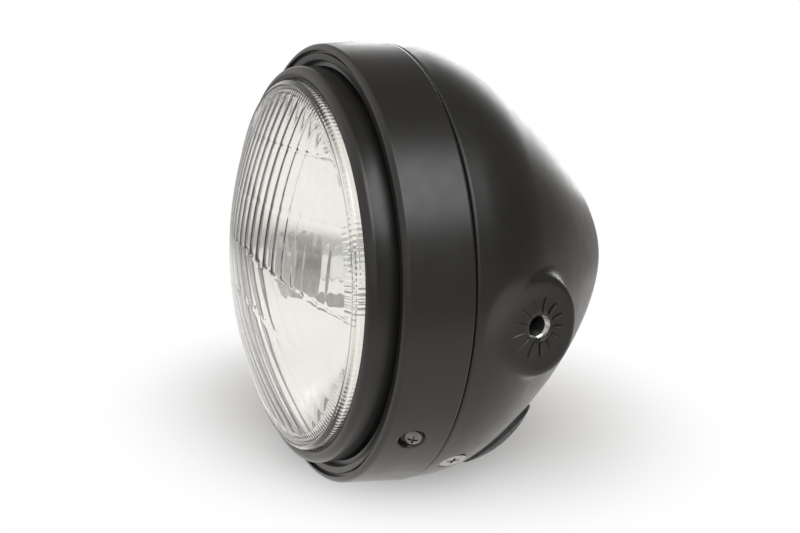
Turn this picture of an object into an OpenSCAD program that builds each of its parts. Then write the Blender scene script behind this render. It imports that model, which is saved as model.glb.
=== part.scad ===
// Round motorcycle headlight: a pressed steel shell, a trim band with a fluted light unit, and the bulb.
// The part is drawn on the bench with the lamp axis along Z, the lens up and the seam between shell
// and band at z = 0; in_frame() then turns it so the lens looks along -Y with +Z up.

/* [Trim band] */
// Radius of the band at the seam, the widest place of the lamp
rim_r = 100; // [97:0.5:104]
// How much narrower the band is where its front lip starts to curl in
rim_taper = 2.5; // [2:0.1:3]
// Height of the front lip's crest above the seam
rim_depth = 28.4; // [26:0.2:32]
// Radius of the curl of the front lip
rim_lip_r = 2.6; // [2.2:0.1:3]
// Thickness of the band's sheet steel
rim_wall = 1.2; // [0.8:0.1:1.4]
// Width of the flat inner flange inside the groove
rim_flange_w = 3.2; // [2.8:0.1:3.6]
// Drop of the flat inner flange below the lip's crest
flange_drop = 1; // [0.6:0.1:1.2]
// Width of the dark groove between lip and inner flange
groove_w = 1.2; // [0.8:0.1:1.5]
// Depth of that groove below the inner flange
groove_depth = 1.1; // [0.6:0.1:1.2]

/* [Rear shell] */
// Thickness of the shell's sheet steel
shell_wall = 1.5; // [1.2:0.1:1.6]
// How far the shell lies inside the band at the seam
shell_inset = 0.6; // [0.3:0.1:1]
// Length of the straight stretch behind the seam
shell_straight = 7.4; // [6:0.2:10]
// Radius of the shoulder behind the straight stretch
shoulder_r = 58; // [56:1:62]
// Slope at which the shoulder passes into the flank, in degrees
shoulder_deg = 30.1; // [29:0.1:31]
// Radius of the long flank
flank_r = 231; // [225:1:237]
// Slope at which the flank passes into the round end, in degrees
flank_deg = 53.3; // [52:0.1:55]
// Gap that shows between band and shell
seam_gap = 0.8; // [0.5:0.1:1.2]
// Rounding of the shell's front edge
edge_round = 1.4; // [0.6:0.1:1.4]
// Gap between the spigot's edge and the pockets of the band screws
spigot_gap = 0.9; // [0.6:0.1:2]
// Clearance between spigot and band
spigot_clear = 0.9; // [0.7:0.1:1.2]

/* [Side mounts] */
// How far each flat mounting pad lies inside the band's radius
pad_inset = 5; // [4:0.25:6]
// Distance of the mounting axis behind the seam
mount_back = 33; // [31:0.5:35]
// Distance of the mounting axis below the lamp axis
mount_drop = 7; // [0:0.5:10]
// Radius of the flat pad
pad_r = 16.7; // [15.5:0.1:18]
// Rounding between the pad and the side of its boss
pad_round = 4.8; // [4:0.1:6]
// Bore of the hole in the painted pad
pad_hole_d = 10.5; // [10:0.1:12]
// Core diameter of the mounting thread (M10)
thread_core_d = 8.5; // [8:0.1:9]
// Diameter of the bush's flange
bush_flange_d = 26; // [22:0.5:30]
// Thickness of the bush's flange
bush_flange_t = 2.5; // [2:0.1:3.5]
// Diameter of the bush's neck
bush_neck_d = 16; // [13:0.5:20]
// Length of the threaded bush
bush_l = 14; // [11:0.5:18]
// Ridges that lock the lamp against its bracket, on each pad
ridge_count = 12; // [8:1:16]
// Height of a locking ridge
ridge_h = 0.45; // [0.3:0.05:0.6]
// Width of a locking ridge at its foot
ridge_w = 1.1; // [0.8:0.1:1.4]
// Radius at which the ridges start
ridge_in_r = 6; // [6:0.1:8]
// Radius at which the ridges end
ridge_out_r = 12.6; // [11:0.1:15]

/* [Band screws] */
// Angle of the band screws below the horizontal
band_screw_deg = 33.1; // [31:0.1:35]
// How far the band screws lie behind the middle of the band's depth
band_screw_off = 0.2; // [0:0.1:0.6]
// Depth of the pocket's floor below the band's surface
pocket_depth = 2.45; // [2.2:0.05:2.8]
// Radius of the pocket round a band screw
pocket_r = 4.9; // [4.6:0.1:5.1]
// Lean of a band screw towards the front
pocket_lean = 20; // [18:0.5:22]
// Turn of a band screw upwards from the radius
pocket_turn = 10; // [6:0.5:12]
// Radius of a band screw's head
band_head_r = 3.6; // [3.2:0.1:4]
// Height of a band screw's head
band_head_h = 2.5; // [2:0.1:3]
// Diameter of a band screw's thread
band_thread_d = 3.9; // [3:0.1:4]
// Length of a band screw under its head
band_screw_l = 6.5; // [5.5:0.1:7]

/* [Lugs] */
// Angle of the countersunk lug screws below the horizontal
lug_screw_deg = 46.9; // [46:0.1:48]
// Distance of the lug screws behind the seam
lug_screw_back = 12.4; // [12:0.1:14]
// Diameter of a lug screw's head
lug_head_d = 12; // [11:0.1:12.4]
// Height of a lug screw's head
lug_head_h = 3.2; // [3:0.1:3.3]
// Diameter of a lug screw's thread
lug_thread_d = 5.9; // [5:0.1:6]
// Length of a lug screw
lug_screw_l = 12; // [10.5:0.5:14]
// Thickness of the lug's strip
lug_t = 2; // [1.6:0.1:2.2]
// Distance from the lug screw to the lug's rear end
lug_end = 7.6; // [7:0.1:9]
// Width of the lug's tab under the band screw
tab_w = 12; // [11:0.5:13]
// Size of the lug nuts across their flats
nut_flats = 10; // [9:0.1:11]
// Height of the lug nuts
nut_h = 5; // [4:0.1:5.5]

/* [Cable grommet] */
// Angle of the grommet below the horizontal
grommet_deg = 57; // [54:0.5:60]
// Place of the grommet along the flank, as its slope in degrees
grommet_slope = 32.8; // [32:0.1:34]
// Radius of the grommet's domed flange
grommet_r = 20; // [18:0.5:22]
// Height of the grommet's crown above the shell
grommet_h = 4.6; // [4:0.1:5.5]
// Bore of the cable hole
cable_hole_d = 9; // [8:0.1:10]
// Diameter of the hole in the shell that holds the grommet
shell_hole_d = 24; // [20:0.5:26]
// Thickness of the grommet's inner flange
grommet_back_t = 2.5; // [2:0.1:3]

/* [Lens] */
// Height of the lens's edge above the band's lip
lens_rise = 9.4; // [8.6:0.1:10]
// Height of the lens's steep edge
lens_bead_h = 4.1; // [3.5:0.1:4.6]
// Width of the lens's steep edge
lens_bead_w = 2.4; // [2:0.1:3]
// Height of the lens's dome
dome_h = 18.8; // [17:0.1:21]
// Fullness of the dome, where 2 is a parabola
dome_power = 1.885; // [1.8:0.005:2]
// Thickness of the glass
glass_t = 3; // [2.6:0.1:3.4]
// Gap between the lens's flat flange and the wall of the retaining ring
lens_flange_gap = 0.9; // [0.6:0.1:1.4]
// Pitch of the upright flutes inside the lens, as an angle at the centre of its inner ball
flute_step = 2.636; // [2.5:0.01:3]
// Depth of a flute's round bottom
flute_depth = 1; // [0.7:0.05:1.1]
// Width of the land between two flutes
flute_land = 0.5; // [0.4:0.05:1]
// Gap between the fluted field and the foot of the inner ball
field_gap = 4.2; // [3:0.1:8]
// Height above the lamp axis at which the flutes end
flute_end = 0.4; // [-5:0.1:5]

/* [Retaining ring] */
// Gap between the band's opening and the retaining ring
ring_gap = 2.6; // [2.2:0.1:3]
// Width of the ring's front face, from the lens to its outside
ring_face_w = 6.1; // [5.6:0.1:6.6]
// Thickness of the ring's sheet steel
ring_wall = 1.2; // [1:0.1:1.3]
// Rounding of the ring's shoulder
ring_round = 3.5; // [3:0.1:4]
// Rise of the ring's face from the lens to the shoulder
ring_rise = 0.8; // [0.4:0.1:1.2]

/* [Reflector] */
// Depth of the reflector's bowl as a share of its mouth's radius
bowl_share = 0.775; // [0.76:0.005:0.8]
// How far the reflector's mouth lies inside the lens's edge
mouth_inset = 4.1; // [3.8:0.1:4.4]
// Thickness of the reflector's sheet steel
reflector_wall = 1; // [0.8:0.1:1.2]
// Width of the seat under the edge of the bulb's flange
seat_w = 1.9; // [1.5:0.1:2.4]
// Margin of the seat's cup round the bulb's flange
seat_margin = 3; // [2.6:0.1:3.4]
// Thickness of the gasket between lens and reflector
gasket_t = 1.8; // [1.4:0.1:2.4]
// How far the bulb's flange lies behind the bottom of the bowl, which is 28.5 behind the focal point
seat_drop = 3.5; // [2.5:0.1:4.5]

/* [Unit clips] */
// Directions of the clips that hold the light unit in the band, in degrees from the right
clip_dirs = [35, 145, 235, 305];
// Width of a clip, as an angle
clip_deg = 9; // [7:0.5:12]
// Thickness of a clip
clip_t = 1.1; // [0.9:0.1:1.3]
// How far the clip's screw stands inside the edge of the ring's flange
clip_inset = 4.3; // [3.8:0.1:4.6]
// Radius of a unit screw's head
unit_head_r = 3.4; // [3:0.1:3.6]

/* [Bulb] */
// Radius of the bulb's round flange
bulb_flange_r = 21.5; // [21:0.1:21.8]
// Thickness of the bulb's flange
bulb_flange_t = 1.2; // [1:0.1:1.5]
// Radius of the bulb's metal collar
bulb_collar_r = 10.5; // [10:0.1:11]
// How much narrower the bulb's glass is than its collar
bulb_step = 1.9; // [1.6:0.1:2.4]
// Distance of the glass tip ahead of the bulb's flange
bulb_reach = 56; // [52:0.5:57]
// Radius of the shield cup in front of the bulb
shield_r = 14.5; // [13.5:0.1:15.5]
// Length of the shield cup
shield_l = 16.5; // [15:0.5:17]
// Thickness of the shield's sheet
shield_wall = 0.8; // [0.6:0.1:1]

/* [Hidden] */

// Facets on a full turn, and on the small round parts
$fn = 96;
small_fn = 32;
// Clearance between parts that lie on each other
seat_gap = 0.05;
// Overlap that joins two shapes of one piece
join = 0.4;
// Length by which a cut runs past what it cuts
past = 1;
// Clearance round a screw in its hole
hole_clear = 0.1;

// Where the band's lip starts to curl, and where its crest lies
lip_z = rim_depth - rim_lip_r;
rim_front_r = rim_r - rim_taper;
crest_r = rim_front_r - rim_lip_r;
// Flat inner flange of the band and the underside that the light unit rests on
flange_z = rim_depth - flange_drop;
groove_out_r = crest_r - 0.2;
groove_in_r = groove_out_r - groove_w;
rim_opening_r = groove_in_r - rim_flange_w;
groove_z = flange_z - groove_depth;
unit_z = groove_z - rim_wall;
hem_w = 1.2;

// Shell outline: straight stretch, shoulder, flank and round end
shell_r = rim_r - shell_inset;
shoulder_c = [shell_r - shoulder_r, -shell_straight];
flank_c = shoulder_c + (shoulder_r - flank_r) * slope_dir(shoulder_deg);
end_r = flank_r + flank_c[0] / cos(flank_deg);
end_c = flank_c + (flank_r - end_r) * slope_dir(flank_deg);
shell_depth = end_r - end_c[1];
band_screw_z = rim_depth / 2 - band_screw_off;
spigot_h = band_screw_z - pocket_r - rim_wall - spigot_gap;
spigot_r = rim_inside(spigot_h) - spigot_clear;

// Side mounts: half the distance between the pads, and how deep the boss reaches in
mount_half = rim_r - pad_inset;
boss_depth = 40;

// Retaining ring and lens edge, from the band's opening inwards
ring_r = rim_opening_r - ring_gap;
lens_r = ring_r - ring_face_w;
lens_edge_z = rim_depth + lens_rise;

// Lens outline and the ball whose surface is the inner face
dome_z = lens_edge_z + lens_bead_h;
dome_r = lens_r - lens_bead_w;
lens_apex = dome_z + dome_h;
inner_dome_r = dome_r - glass_t;
inner_apex = lens_apex - glass_t;
inner_dome_h = dome_h + 0.2;
ball_r = (inner_dome_r ^ 2 + inner_dome_h ^ 2) / (2 * inner_dome_h);
ball_z = inner_apex - ball_r;
lens_flange_z = lens_edge_z - 1.5;
lens_back_z = lens_flange_z - glass_t;
lens_out_r = ring_r - ring_wall - lens_flange_gap;
field_r = inner_dome_r - field_gap;

// Retaining ring: the shoulder's centre, the top of its flange and the flange's edge
ring_top = lens_edge_z + ring_rise;
ring_c = [ring_r - ring_round, ring_top - ring_round];
ring_flange_z = unit_z - seat_gap;
ring_flange_r = rim_inside(unit_z) - 1.1;

// Reflector: the rim that carries the gasket, the bowl and the seat of the bulb
mouth_r = lens_r - mouth_inset;
focal_l = mouth_r / (4 * bowl_share);
neck_r = bulb_flange_r - seat_w;
seat_r = bulb_flange_r + seat_margin;
rim_seat_z = lens_back_z - gasket_t - 2 * seat_gap;
skirt_r = ring_r - ring_wall - 0.6;
reflector_flange_z = ring_flange_z - ring_wall - seat_gap;
reflector_flange_r = ring_flange_r - 1.2;
bowl_z = rim_seat_z - reflector_wall - mouth_r ^ 2 / (4 * focal_l);
bulb_z = bowl_z - seat_drop;

// Clips that hold the light unit
clip_top = reflector_flange_z - reflector_wall - seat_gap;
clip_drop = 12;
clip_low = clip_top - clip_drop;
clip_screw_r = ring_flange_r - clip_inset;
unit_screw_l = ring_flange_z - clip_top + clip_t - 0.1;
unit_thread_r = 1.95;
unit_head_h = 2.4;

// Band screw: the seat of its head, and the tab and collar under it
pocket_seat_r = rim_outside(band_screw_z) - pocket_depth;
tab_top = -rim_wall - 0.1;
collar_h = 3;
collar_r = 3.6;
tab_front = 7;
tab_rear = 4.5;
lug_back = lug_screw_back + lug_end;
lug_r = min(spigot_r - shell_wall - 0.3, shell_at(lug_back) - shell_wall - 2 * hole_clear);
lug_front = band_screw_z - tab_rear + 1;
lug_from = band_screw_deg - 4.5;
lug_to = lug_screw_deg + 6;
dimple_r = lug_head_d / 2 + shell_wall;
dimple_floor = lug_r + seat_gap;
lug_seat_r = shell_at(lug_screw_back) - 0.1;

// Bulb shield: its rear edge, its leg and foot
shield_back = bulb_z + bulb_reach + 3;
foot_y = 27;
foot_z = bowl_at(foot_y);
foot_slope = atan(foot_y / (2 * focal_l));
foot_w = 8;
foot_l = 9.2;
foot_lift = (foot_w ^ 2 + foot_l ^ 2) / (16 * focal_l) + seat_gap;
rivet_r = 1.5;
rivet_head_r = 2.2;
rivet_head_h = 0.9;
rivet_y = -2.2;

// Bulb: its glass, how far the collar and the contacts reach, the filaments and the boot
bulb_glass_r = bulb_collar_r - bulb_step;
bulb_glass_wall = 0.9;
bulb_collar_t = 0.6;
collar_l = 12;
contact_gap = 0.2;
blade = [8, 0.8, 12];
blade_side = 4;
blade_low = 6;
post_l = 30;
post_x = 4;
post_r = 0.5;
coil_r = 0.8;
coil_near = 23;
coil_far = 33.1;
boot_wall = 2;
boot_lip = 0.3;
boot_mouth = 5;
boot_neck = 16;
boot_l = 27;
boot_grip = 2.5;

// Wire clip of the bulb: its feet stand just outside the bulb's flange
wire_r = 0.7;
clip_out_r = bulb_flange_r + 1.52;
clip_foot_deg = 55.6;
clip_x = clip_out_r * cos(clip_foot_deg);
clip_y = clip_out_r * sin(clip_foot_deg);

// Half the lamp's length behind the middle between lens and shell end
mid_y = (shell_depth - lens_apex) / 2;

function slope_dir(a) = [cos(a), -sin(a)];
function arc(c, r, a0, a1, n) = [for (i = [0:n]) let (a = a0 + (a1 - a0) * i / n) c + r * [cos(a), sin(a)]];
function rim_outside(z) = rim_r + (rim_front_r - rim_r) * z / lip_z;
function rim_inside(z) = rim_outside(z) - rim_wall;
function dome_at(r) = dome_z + dome_h * (1 - (r / dome_r) ^ dome_power);
function bowl_at(r) = bowl_z + r ^ 2 / (4 * focal_l);
function shell_at(back) = shell_r - shoulder_r + sqrt(shoulder_r ^ 2 - (back - shell_straight) ^ 2);

// The shell's outline from its straight stretch to its end, moved inwards by inset
function shell_line(inset) = concat(
    arc(shoulder_c, shoulder_r - inset, 0, -shoulder_deg, 8),
    arc(flank_c, flank_r - inset, -shoulder_deg, -flank_deg, 12),
    arc(end_c, end_r - inset, -flank_deg, -90, 8)
);

module in_frame() { translate([0, -mid_y, 0]) rotate([90, 0, 0]) children(); }

module both_sides() {
    children();
    mirror([1, 0, 0]) children();
}

// Puts Z along the mounting axis of the right pad, outwards, with z = 0 at the lamp axis
module at_mount() { translate([0, -mount_drop, -mount_back]) rotate([0, 90, 0]) children(); }

// Puts Z along a band screw, outwards, with z = 0 where its head seats
module at_band_screw() {
    rotate(-band_screw_deg) translate([pocket_seat_r, 0, band_screw_z])
        rotate(pocket_turn) rotate([0, 90 - pocket_lean, 0]) children();
}

// Puts Z along a lug screw, outwards, with z = 0 at the top of its head
module at_lug_screw() {
    rotate(-lug_screw_deg) translate([lug_seat_r, 0, -lug_screw_back]) rotate([0, 90, 0]) children();
}

// Puts Z along the grommet, outwards, with z = 0 on the shell's surface
module at_grommet() {
    p = flank_c + flank_r * slope_dir(grommet_slope);
    rotate(-grommet_deg) translate([p[0], 0, p[1]]) rotate([0, 90 + grommet_slope, 0]) children();
}

module ring_sector(r_in, r_out, z0, z1, from_deg, to_deg) {
    rotate(from_deg) rotate_extrude(angle = to_deg - from_deg)
        translate([r_in, z0]) square([r_out - r_in, z1 - z0]);
}

// Rear shell

module shell_solid(inset, front) {
    rotate_extrude() polygon(concat([[0, front], [shell_r - inset, front]], shell_line(inset)));
}

module shell_outside() {
    edge_c = [shell_r - edge_round, -seam_gap - edge_round];
    rotate_extrude() polygon(concat([[0, -seam_gap]], arc(edge_c, edge_round, 90, 0, 6), shell_line(0)));
}

// Boss of a side mount, which stands out of the sloping flank
module boss(inset) {
    at_mount() rotate_extrude() polygon(concat(
        [[0, mount_half - boss_depth], [pad_r + pad_round - inset, mount_half - boss_depth]],
        arc([pad_r, mount_half - pad_round], pad_round - inset, 0, 90, 6),
        [[0, mount_half - inset]]
    ));
}

// Recess that brings the fuller front of the shell down to the pad
module pad_recess(inset) {
    reach = pad_inset + past;
    foot = pad_r + 0.6 * inset;
    at_mount() translate([0, 0, mount_half - inset])
        rotate_extrude() polygon([[0, 0], [foot, 0], [foot + reach, reach], [0, reach]]);
}

module shell_inside() {
    difference() {
        union() {
            shell_solid(shell_wall, past);
            both_sides() boss(shell_wall);
        }
        both_sides() pad_recess(shell_wall);
    }
}

module spigot() {
    rotate_extrude() polygon([
        [spigot_r - shell_wall, spigot_h], [spigot_r, spigot_h], [spigot_r, -seam_gap],
        [shell_r - edge_round, -seam_gap], [shell_r - edge_round + join, -seam_gap - shell_wall],
        [shell_r - shell_wall + join, -seam_gap - 2 * shell_wall],
        [shell_r - shell_wall, -seam_gap - 2 * shell_wall], [spigot_r - shell_wall, -seam_gap - shell_wall]
    ]);
}

// Fine ridges on a pad, which bite into the bracket
module ridges() {
    at_mount() for (i = [0:ridge_count - 1])
        rotate(i * 360 / ridge_count) translate([ridge_in_r, 0, mount_half - join]) rotate([90, 0, 90])
            linear_extrude(ridge_out_r - ridge_in_r)
                polygon([[-ridge_w / 2, 0], [ridge_w / 2, 0], [ridge_w / 2, join], [0, join + ridge_h],
                    [-ridge_w / 2, join]]);
}

// Pressed dimple that takes the head of a lug screw
module dimple() {
    at_lug_screw() translate([0, 0, dimple_floor - lug_seat_r])
        cylinder(r1 = dimple_r - shell_wall, r2 = dimple_r, h = lug_seat_r - dimple_floor - shell_wall + join);
}

module lug_screw_hole() {
    at_lug_screw() {
        translate([0, 0, -lug_head_h]) cylinder(
            r1 = lug_thread_d / 2 + hole_clear, r2 = lug_head_d / 2 + hole_clear, h = lug_head_h);
        cylinder(r = lug_head_d / 2 + hole_clear, h = past);
        translate([0, 0, -lug_screw_l]) cylinder(r = lug_thread_d / 2 + hole_clear, h = lug_screw_l);
    }
}

module rear_shell() {
    color("#3a3836") in_frame() difference() {
        union() {
            difference() {
                union() {
                    shell_outside();
                    both_sides() boss(0);
                }
                both_sides() pad_recess(0);
                shell_inside();
            }
            spigot();
            both_sides() ridges();
            both_sides() dimple();
        }
        both_sides() lug_screw_hole();
        both_sides() at_mount() translate([0, 0, mount_half - shell_wall - past])
            cylinder(d = pad_hole_d, h = shell_wall + ridge_h + 2 * past);
        at_grommet() translate([0, 0, -shell_hole_d / 2]) cylinder(d = shell_hole_d, h = shell_hole_d);
    }
}

// Threaded bush welded behind a pad
module bush() {
    at_mount() translate([0, 0, mount_half - shell_wall - seat_gap]) mirror([0, 0, 1]) difference() {
        union() {
            cylinder(d = bush_flange_d, h = bush_flange_t);
            cylinder(d = bush_neck_d, h = bush_l);
        }
        translate([0, 0, -past]) cylinder(d = thread_core_d, h = bush_l + 2 * past);
    }
}

module bush_right() { color("#c8c8c4") in_frame() bush(); }
module bush_left() { color("#c8c8c4") in_frame() mirror([1, 0, 0]) bush(); }

// Rubber grommet: a domed flange outside, a neck in the hole and a flange inside
module cable_grommet() {
    dome_ball = (grommet_r ^ 2 + grommet_h ^ 2) / (2 * grommet_h);
    depth = shell_wall + grommet_back_t + 2;
    color("#1c1c1c") in_frame() difference() {
        union() {
            difference() {
                at_grommet() translate([0, 0, -depth]) intersection() {
                    cylinder(r = grommet_r, h = depth + grommet_h + past);
                    translate([0, 0, depth + grommet_h - dome_ball]) sphere(r = dome_ball);
                }
                shell_solid(-seat_gap, 0);
            }
            at_grommet() translate([0, 0, -shell_wall - 2])
                cylinder(d = shell_hole_d - 2 * hole_clear, h = shell_wall + 3);
            intersection() {
                at_grommet() translate([0, 0, -depth]) cylinder(d = shell_hole_d + 6, h = depth);
                shell_solid(shell_wall + seat_gap, 0);
            }
        }
        at_grommet() translate([0, 0, -depth - past]) cylinder(d = cable_hole_d, h = depth + grommet_h + 3 * past);
    }
}

// Trim band

module band_outside() {
    rotate_extrude() polygon(concat(
        [[0, 0], [rim_r, 0]], arc([crest_r, lip_z], rim_lip_r, 0, 90, 8), [[0, rim_depth]]
    ));
}

module band_wall() {
    rotate_extrude() polygon(concat(
        [[rim_r - rim_wall, 0], [rim_r, 0]],
        arc([crest_r, lip_z], rim_lip_r, 0, 90, 8),
        [
            [groove_out_r, rim_depth - 0.1], [groove_out_r, groove_z], [groove_in_r, groove_z],
            [groove_in_r, flange_z - 0.2], [groove_in_r - 0.2, flange_z], [rim_opening_r + 0.4, flange_z]
        ],
        arc([rim_opening_r + 0.4, flange_z - 0.4], 0.4, 90, 180, 4),
        [
            [rim_opening_r, unit_z + 0.1], [rim_opening_r + hem_w, unit_z + 0.1],
            [rim_opening_r + hem_w, flange_z - rim_wall], [groove_in_r - rim_wall, flange_z - rim_wall],
            [groove_in_r - rim_wall, unit_z], [rim_inside(unit_z), unit_z]
        ]
    ));
}

module trim_band() {
    color("#2f2d2b") in_frame() difference() {
        union() {
            band_wall();
            intersection() {
                band_outside();
                both_sides() at_band_screw() translate([0, 0, -rim_wall])
                    cylinder(r = pocket_r + rim_wall, h = 3 * pocket_depth);
            }
        }
        both_sides() at_band_screw() {
            cylinder(r = pocket_r, h = 4 * pocket_depth);
            translate([0, 0, -rim_wall - past]) cylinder(d = band_thread_d + 4 * hole_clear, h = rim_wall + 2 * past);
        }
    }
}

// Catch welded inside the top of the band, which hooks behind the shell's spigot
module top_catch() {
    hook_r = spigot_r - shell_wall - 2 * seat_gap;
    top = lip_z - 4;
    low = spigot_h + 2;
    color("#8c8a86") in_frame() rotate(84) rotate_extrude(angle = 12) polygon([
        [rim_inside(top) - seat_gap, top], [rim_inside(low) - seat_gap, low], [hook_r, spigot_h + 0.6],
        [hook_r, -8], [hook_r - rim_wall, -8], [hook_r - rim_wall, spigot_h + 1.1],
        [rim_inside(low) - rim_wall, low + 0.6], [rim_inside(top) - rim_wall, top]
    ]);
}

// Lug: a curved strip on the shell, with the tab that the band screw goes into
module lug() {
    difference() {
        union() {
            ring_sector(lug_r - lug_t, lug_r, -lug_back, lug_front, -lug_to, -lug_from);
            at_band_screw() translate([-tab_front, -tab_w / 2, tab_top - lug_t])
                cube([tab_front + tab_rear, tab_w, lug_t]);
            at_band_screw() translate([0, 0, tab_top - lug_t - collar_h]) cylinder(r = collar_r, h = collar_h + join);
        }
        at_band_screw() translate([0, 0, -rim_wall - lug_t - collar_h - past])
            cylinder(d = band_thread_d + 2 * hole_clear, h = rim_wall + lug_t + collar_h + past);
        at_band_screw() translate([0, 0, tab_top]) cylinder(r = pocket_r + rim_wall + 0.4, h = 4);
        lug_screw_hole();
    }
}

module lug_right() { color("#8c8a86") in_frame() lug(); }
module lug_left() { color("#8c8a86") in_frame() mirror([1, 0, 0]) lug(); }

module cross_recess(size, depth) {
    for (a = [0, 90]) rotate(a) translate([-size / 2, -size / 10, -depth]) cube([size, size / 5, depth + past]);
}

module band_screw() {
    ball = (band_head_r ^ 2 + (band_head_h / 2) ^ 2) / band_head_h;
    difference() {
        union() {
            translate([0, 0, seat_gap]) intersection() {
                cylinder(r = band_head_r, h = band_head_h);
                translate([0, 0, band_head_h - ball]) sphere(r = ball);
            }
            translate([0, 0, -band_screw_l]) cylinder(d = band_thread_d, h = band_screw_l + join);
        }
        translate([0, 0, band_head_h]) cross_recess(band_head_r * 1.15, band_head_h / 2);
    }
}

module band_screws() { color("#b9b7b0") in_frame() both_sides() at_band_screw() band_screw(); }

module lug_screw() {
    difference() {
        union() {
            translate([0, 0, -lug_head_h]) cylinder(r1 = lug_thread_d / 2, r2 = lug_head_d / 2, h = lug_head_h);
            translate([0, 0, -lug_screw_l]) cylinder(d = lug_thread_d, h = lug_screw_l - lug_head_h + join);
        }
        cross_recess(lug_head_d * 0.5, lug_head_h / 2);
    }
}

module lug_screws() { color("#a9a7a2") in_frame() both_sides() at_lug_screw() lug_screw(); }

module lug_nuts() {
    nut_r = nut_flats / 2 / cos(30);
    top = lug_r - lug_t - lug_seat_r - 0.25;
    color("#a9a7a2") in_frame() both_sides() at_lug_screw() translate([0, 0, top - nut_h]) difference() {
        cylinder(r = nut_r, h = nut_h, $fn = 6);
        translate([0, 0, -past]) cylinder(d = lug_thread_d + 2 * hole_clear, h = nut_h + 2 * past);
    }
}

// Light unit

module retaining_ring() {
    color("#242322") in_frame() difference() {
        rotate_extrude() polygon(concat(
            [[lens_r + 0.15, lens_edge_z - 0.9], [lens_r + 0.15, lens_edge_z]],
            arc(ring_c, ring_round, 90, 0, 8),
            [
                [ring_r, ring_flange_z + 1], [ring_r + 1, ring_flange_z], [ring_flange_r, ring_flange_z],
                [ring_flange_r, ring_flange_z - ring_wall], [ring_r - ring_wall, ring_flange_z - ring_wall]
            ],
            arc(ring_c, ring_round - ring_wall, 0, 90, 6)
        ));
        unit_screw_holes(2 * unit_thread_r + 2 * hole_clear);
    }
}

module unit_screw_holes(d) {
    for (a = clip_dirs) rotate(a) translate([clip_screw_r, 0, clip_top - clip_t - past])
        cylinder(d = d, h = unit_screw_l + 3 * past, $fn = small_fn);
}

module unit_clips() {
    color("#9a9893") in_frame() difference() {
        for (a = clip_dirs) rotate(a - clip_deg / 2) rotate_extrude(angle = clip_deg) polygon([
            [rim_inside(clip_low) - seat_gap, clip_low], [rim_inside(clip_top) - seat_gap, clip_top],
            [clip_screw_r - unit_head_r - 0.4, clip_top], [clip_screw_r - unit_head_r - 0.4, clip_top - clip_t],
            [rim_inside(clip_top) - clip_t, clip_top - clip_t], [rim_inside(clip_low) - clip_t, clip_low]
        ]);
        unit_screw_holes(2 * unit_thread_r + 2 * hole_clear);
    }
}

module unit_screws() {
    color("#b9b7b0") in_frame() for (a = clip_dirs)
        rotate(a) translate([clip_screw_r, 0, clip_top - clip_t - seat_gap]) difference() {
            union() {
                cylinder(r = unit_thread_r, h = unit_screw_l, $fn = small_fn);
                translate([0, 0, -unit_head_h]) cylinder(r = unit_head_r, h = unit_head_h, $fn = small_fn);
            }
            translate([0, 0, -unit_head_h]) mirror([0, 0, 1]) cross_recess(unit_head_r * 1.15, unit_head_h / 2);
        }
}

module lens_body() {
    rotate_extrude() difference() {
        polygon(concat(
            [for (i = [0:20]) let (r = dome_r * i / 20) [r, dome_at(r)]],
            [[lens_r, lens_edge_z], [lens_r, lens_flange_z], [lens_out_r, lens_flange_z],
                [lens_out_r, lens_back_z], [0, lens_back_z]]
        ));
        intersection() {
            translate([0, ball_z]) circle(r = ball_r, $fn = 360);
            translate([0, lens_back_z - past]) square([inner_dome_r, ball_r]);
        }
    }
}

// Upright flutes: grooves with round bottoms, bent round the level axis through the inner ball's centre
module flutes() {
    from = acos((field_r + past) / ball_r);
    to = acos(flute_end / ball_r);
    side = floor(asin((field_r - field_gap) / ball_r) / flute_step);
    chord = ball_r * sin(flute_step) - flute_land;
    rod_r = (chord ^ 2 / 4 + flute_depth ^ 2) / (2 * flute_depth);
    translate([0, 0, ball_z]) rotate([0, 0, 90]) rotate([90, 0, 0]) rotate(from)
        rotate_extrude(angle = to - from)
            for (i = [-side:side]) rotate(i * flute_step) intersection() {
                translate([ball_r + flute_depth - rod_r, 0]) circle(r = rod_r);
                translate([ball_r - past, -chord / 2]) square([past + 2 * flute_depth, chord]);
            }
}

module lens() {
    color("#e8ebe6", 0.6) in_frame() difference() {
        lens_body();
        intersection() {
            translate([0, 0, lens_back_z]) cylinder(r = field_r, h = lens_apex - lens_back_z);
            flutes();
        }
    }
}

module lens_gasket() {
    color("#161616") in_frame() rotate_extrude()
        translate([mouth_r + 0.8, rim_seat_z + seat_gap]) square([skirt_r - mouth_r - 1, gasket_t]);
}

module reflector() {
    wall = reflector_wall;
    steps = 16;
    inner = [for (i = [0:steps]) let (r = neck_r + (mouth_r - neck_r) * i / steps) [r, bowl_at(r)]];
    outer = [for (i = [steps:-1:0]) let (r = neck_r + wall + (mouth_r - neck_r) * i / steps) [r, bowl_at(r) - wall * 1.3]];
    color("#d8d8d6") in_frame() difference() {
        rotate_extrude() polygon(concat(
            inner,
            [
                [mouth_r, rim_seat_z], [skirt_r, rim_seat_z], [skirt_r, reflector_flange_z],
                [reflector_flange_r, reflector_flange_z], [reflector_flange_r, reflector_flange_z - wall],
                [skirt_r - wall, reflector_flange_z - wall], [skirt_r - wall, rim_seat_z - wall],
                [mouth_r + wall, rim_seat_z - wall]
            ],
            outer,
            [
                [neck_r + wall, bulb_z + wall], [seat_r, bulb_z + wall], [seat_r, bulb_z + seat_gap],
                [neck_r, bulb_z + seat_gap]
            ]
        ));
        unit_screw_holes(2 * unit_thread_r + 4 * hole_clear);
        clip_feet(hole_clear);
        at_foot() translate([0, rivet_y, -4]) cylinder(r = rivet_r + hole_clear, h = 8, $fn = small_fn);
    }
}

// Bulb shield

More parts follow.
